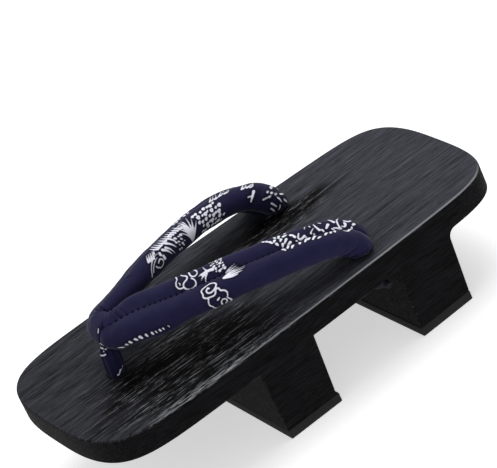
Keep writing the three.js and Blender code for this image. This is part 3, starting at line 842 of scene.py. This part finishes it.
band_width = 11.5
band_thickness = 2.1
band_slack = 0.05
loop_grid = 0.36
stem_rows = np.array([
    # along, height above the board, half width across, half depth along, pleat depth
    (-86.6, 21.5, 3.0, 2.6, 0.7),
    (-87.2, 18.4, 3.6, 3.4, 1.0),
    (-87.7, 15.0, 4.3, 4.4, 1.1),
    (-88.1, 10.6, 5.3, 5.3, 1.0),
    (-88.6, 6.0, 5.5, 5.4, 0.95),
    (-89.2, 2.3, 5.1, 4.9, 0.9),
    (-89.5, 0, 4.9, 4.8, 0.7),
    (-89.5, -7, 4.7, 4.7, 0.5),
    (-89.5, -15, 4.7, 4.7, 0.5),
    (-89.5, -18, 3.0, 3.0, 0.2),
], float)

# The band follows both rolls and dips into the seam between them. Its own line in the
# side view is drawn by rays from the middle of the pair.
apex = limb_rows[0]
apex_lean = math.radians(apex[6])
apex_out = np.array((-math.cos(apex_lean), -math.sin(apex_lean)))
apex_middle = np.array((apex[1], board_top + apex[2]))
ray = np.linspace(0, 2 * math.pi, 240, endpoint=False)
rays = np.stack([np.cos(ray), np.sin(ray)], -1)
band_reach = np.zeros(len(ray))
for side, size in ((1, apex[3]), (-1, apex[3] * apex[4])):
    centre = side * apex[5] / 2 * apex_out
    beside = rays @ centre
    size = size + band_slack + band_thickness / 2
    crossing = beside + np.sqrt(np.clip(size**2 - centre @ centre + beside**2, 0, None))
    band_reach = np.maximum(band_reach, np.where(size**2 - centre @ centre + beside**2 > 0, crossing, 0))
window = np.exp(-(np.arange(-14, 15) / 4) ** 2)
band_reach = np.convolve(np.tile(band_reach, 3), window / window.sum(), "same")[len(ray):2 * len(ray)]
band_line = apex_middle + band_reach[:, None] * rays
band_run = unit(np.roll(band_line, -1, 0) - np.roll(band_line, 1, 0))
band_away = np.stack([band_run[:, 1], -band_run[:, 0]], -1)

# Its section is a soft flat oval, a little wavy in width as the cloth is hand folded
section_turn = np.linspace(0, 2 * math.pi, 48, endpoint=False)
band_half = band_width / 2 + 0.25 * np.sin(3 * ray + 0.6) + 0.18 * np.sin(7 * ray)
flat_oval = np.stack([
    np.sign(np.cos(section_turn)) * np.abs(np.cos(section_turn)) ** 0.5,
    np.sign(np.sin(section_turn)) * np.abs(np.sin(section_turn)) ** 0.75], -1)
band_rings = np.zeros((len(ray), len(section_turn), 3))
band_rings[:, :, 0] = band_half[:, None] * flat_oval[:, 0]
proud = band_thickness / 2 * flat_oval[:, 1]
band_rings[:, :, 1] = band_line[:, 0, None] + band_away[:, 0, None] * proud
band_rings[:, :, 2] = band_line[:, 1, None] + band_away[:, 1, None] * proud

stem_places = np.linspace(0, len(stem_rows) - 1, 110)
stem = spline(stem_rows, stem_places)
stem_turn = np.linspace(0, 2 * math.pi, 120, endpoint=False)
pleats = (np.abs(np.sin(4.5 * stem_turn + 0.8 * np.sin(2 * stem_turn))) ** 0.7 - 0.7)[None]
pleats = pleats * (1 + 0.3 * np.sin(stem_turn * 2 + stem_places[:, None]))
puff = 1 + pleats * (stem[:, 4] / stem[:, 2])[:, None]
stem_rings = np.stack([
    stem[:, 2, None] * np.cos(stem_turn) * puff,
    stem[:, 0, None] - stem[:, 3, None] * np.sin(stem_turn) * puff,
    board_top + stem[:, 1, None] + 0 * puff], -1)


def even_skin(piece, pitch, rounds):
    """One smoothed skin on an even grid in place of a piece's mesh; what lies inside it goes."""
    grid = piece.modifiers.new("even_grid", "REMESH")
    grid.mode = "VOXEL"
    grid.voxel_size = pitch * millimetre
    soften = piece.modifiers.new("soften", "SMOOTH")
    soften.factor = 0.5
    soften.iterations = rounds
    bpy.context.view_layer.update()
    skin = bpy.data.meshes.new_from_object(piece.evaluated_get(bpy.context.evaluated_depsgraph_get()))
    piece.modifiers.clear()
    piece.data = skin
    skin.shade_smooth()
    skin.materials.clear()
    return skin


loop = tube("gathered_toe_loop", band_rings, closed=True)
carve(loop, tube("stem", stem_rings), "UNION")
soft = even_skin(loop, loop_grid, 3)
loop.data.materials.append(cotton)

# Ends of the same print that fall on the loop: (half width, points in the frame, in mm)
loop_print = [
    (0.4, [(-1.6, -91.9, 76), (0.1, -91.3, 74.5), (3.1, -90.1, 73.9)]),
    (0.4, [(4.6, -91.8, 79.5), (4.5, -91.1, 77.6)]),
    (0.4, [(3.3, -89.2, 74.8), (4, -88.8, 74.4)]),
    (0.4, [(2.1, -91.5, 73), (0.9, -92, 73.4)]),
    (0.42, [(-0.8, -92.8, 70.4), (1.2, -92.3, 70.6), (2.9, -91.6, 71.4)]),
    (0.3, [(4.4, -89.3, 87.2), (4.6, -90.5, 85.6)]),
    (0.45, [(4.3, -86.6, 60.6), (5, -88.9, 59.8), (4.9, -90, 58.4), (4.8, -91.3, 58)]),
]
loop_points = np.zeros(3 * len(soft.vertices))
soft.vertices.foreach_get("co", loop_points)
loop_points = loop_points.reshape(-1, 3) / millimetre
loop_depth = np.full(len(loop_points), -5.0)
for half, drawn_line in loop_print:
    for a, b in zip(np.array(drawn_line, float), np.array(drawn_line[1:], float)):
        t = np.clip((loop_points - a) @ (b - a) / ((b - a) @ (b - a)), 0, 1)
        off = np.linalg.norm(loop_points - a - t[:, None] * (b - a), axis=1)
        loop_depth = np.maximum(loop_depth, half - off)
soft.attributes.new("print", "FLOAT", "POINT").data.foreach_set("value", loop_depth)
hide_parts("toe_loop")
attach(loop, "root")


# Knots
# Below the board each end is finished with a knot of hemp cord, dyed black, that is too
# thick for the hole. It is pulled tight and its two tails are cut short.

cord_radius = 2.1
strand_groove = 0.25
knot_loop = 1.6
knot_depth = 2.6
knot_grid = 0.3
knot_places = {
    "toe_knot": (0, -89.5, 37.6), "left_knot": (-44.5, 45.3, 37.6), "right_knot": (44.5, 45.3, 37.6)}


def cord(line, along, lays):
    """Rings of points round a cord of three strands that turn that many times about each
    other. The line never runs straight up."""
    along = unit(along)
    level = unit(np.cross(along, (0, 0, 1)))
    steep = np.cross(level, along)
    turn = np.linspace(0, 2 * math.pi, 30, endpoint=False)
    twist = 2 * math.pi * lays * np.arange(len(line))[:, None] / len(line)
    radius = cord_radius - strand_groove * np.abs(np.sin(1.5 * (turn - twist))) ** 6
    across, over = radius * np.cos(turn), radius * np.sin(turn)
    return line[:, None] + across[:, :, None] * level[:, None] + over[:, :, None] * steep[:, None]


# Laid hemp, dyed black: dull, with loose fibre over the ribs of its three strands
fibre_tuft = 0.714
hemp, tree = blank_material("black_laid_hemp")
place = add_node(tree, "ShaderNodeTexCoord").outputs["Object"]
fray = add_node(tree, "ShaderNodeTexNoise", {
    "Vector": place, "Scale": 1 / (fibre_tuft * millimetre), "Detail": 3})
tone = add_node(tree, "ShaderNodeMix", {
    "Factor": fray.outputs["Fac"], "A": linear("#101018"), "B": linear("#30303a")}, data_type="RGBA")
strands = add_node(tree, "ShaderNodeBump", {
    "Height": fray.outputs["Fac"], "Strength": 0.6, "Distance": 0.3 * millimetre})
shader = add_node(tree, "ShaderNodeBsdfPrincipled", {
    "Base Color": tone.outputs["Result"], "Roughness": 0.85,
    "Normal": strands.outputs["Normal"], "Specular IOR Level": 0.25})
add_node(tree, "ShaderNodeOutputMaterial", {"Surface": shader.outputs["BSDF"]})

t = np.linspace(0, 2 * math.pi, 240, endpoint=False)
overhand = np.stack([
    knot_loop * (np.sin(t) + 2 * np.sin(2 * t)),
    knot_loop * (np.cos(t) - 2 * np.cos(2 * t)),
    -knot_depth * np.sin(3 * t)], -1)
knot_rings = cord(overhand, np.roll(overhand, -1, 0) - np.roll(overhand, 1, 0), 7)
tail_rows = np.array([(0.8, 0, -1), (3.4, 1.6, -2.6), (6.2, 3.2, -2.9), (8.8, 3.6, -3.6)])
tail = spline(tail_rows, np.linspace(0, len(tail_rows) - 1, 60))
for name, middle in knot_places.items():
    knot = tube(name, knot_rings + middle, closed=True)
    shape = bmesh.new()
    shape.from_mesh(knot.data)
    for side in (-1, 1):
        out = tail * (side, side, 1)
        end = tube("tail", cord(out, np.gradient(out, axis=0), 1.2) + middle)
        shape.from_mesh(end.data)
        bpy.data.objects.remove(end)
    shape.to_mesh(knot.data)
    shape.free()
    even_skin(knot, knot_grid, 1).materials.append(hemp)
    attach(knot, "root")
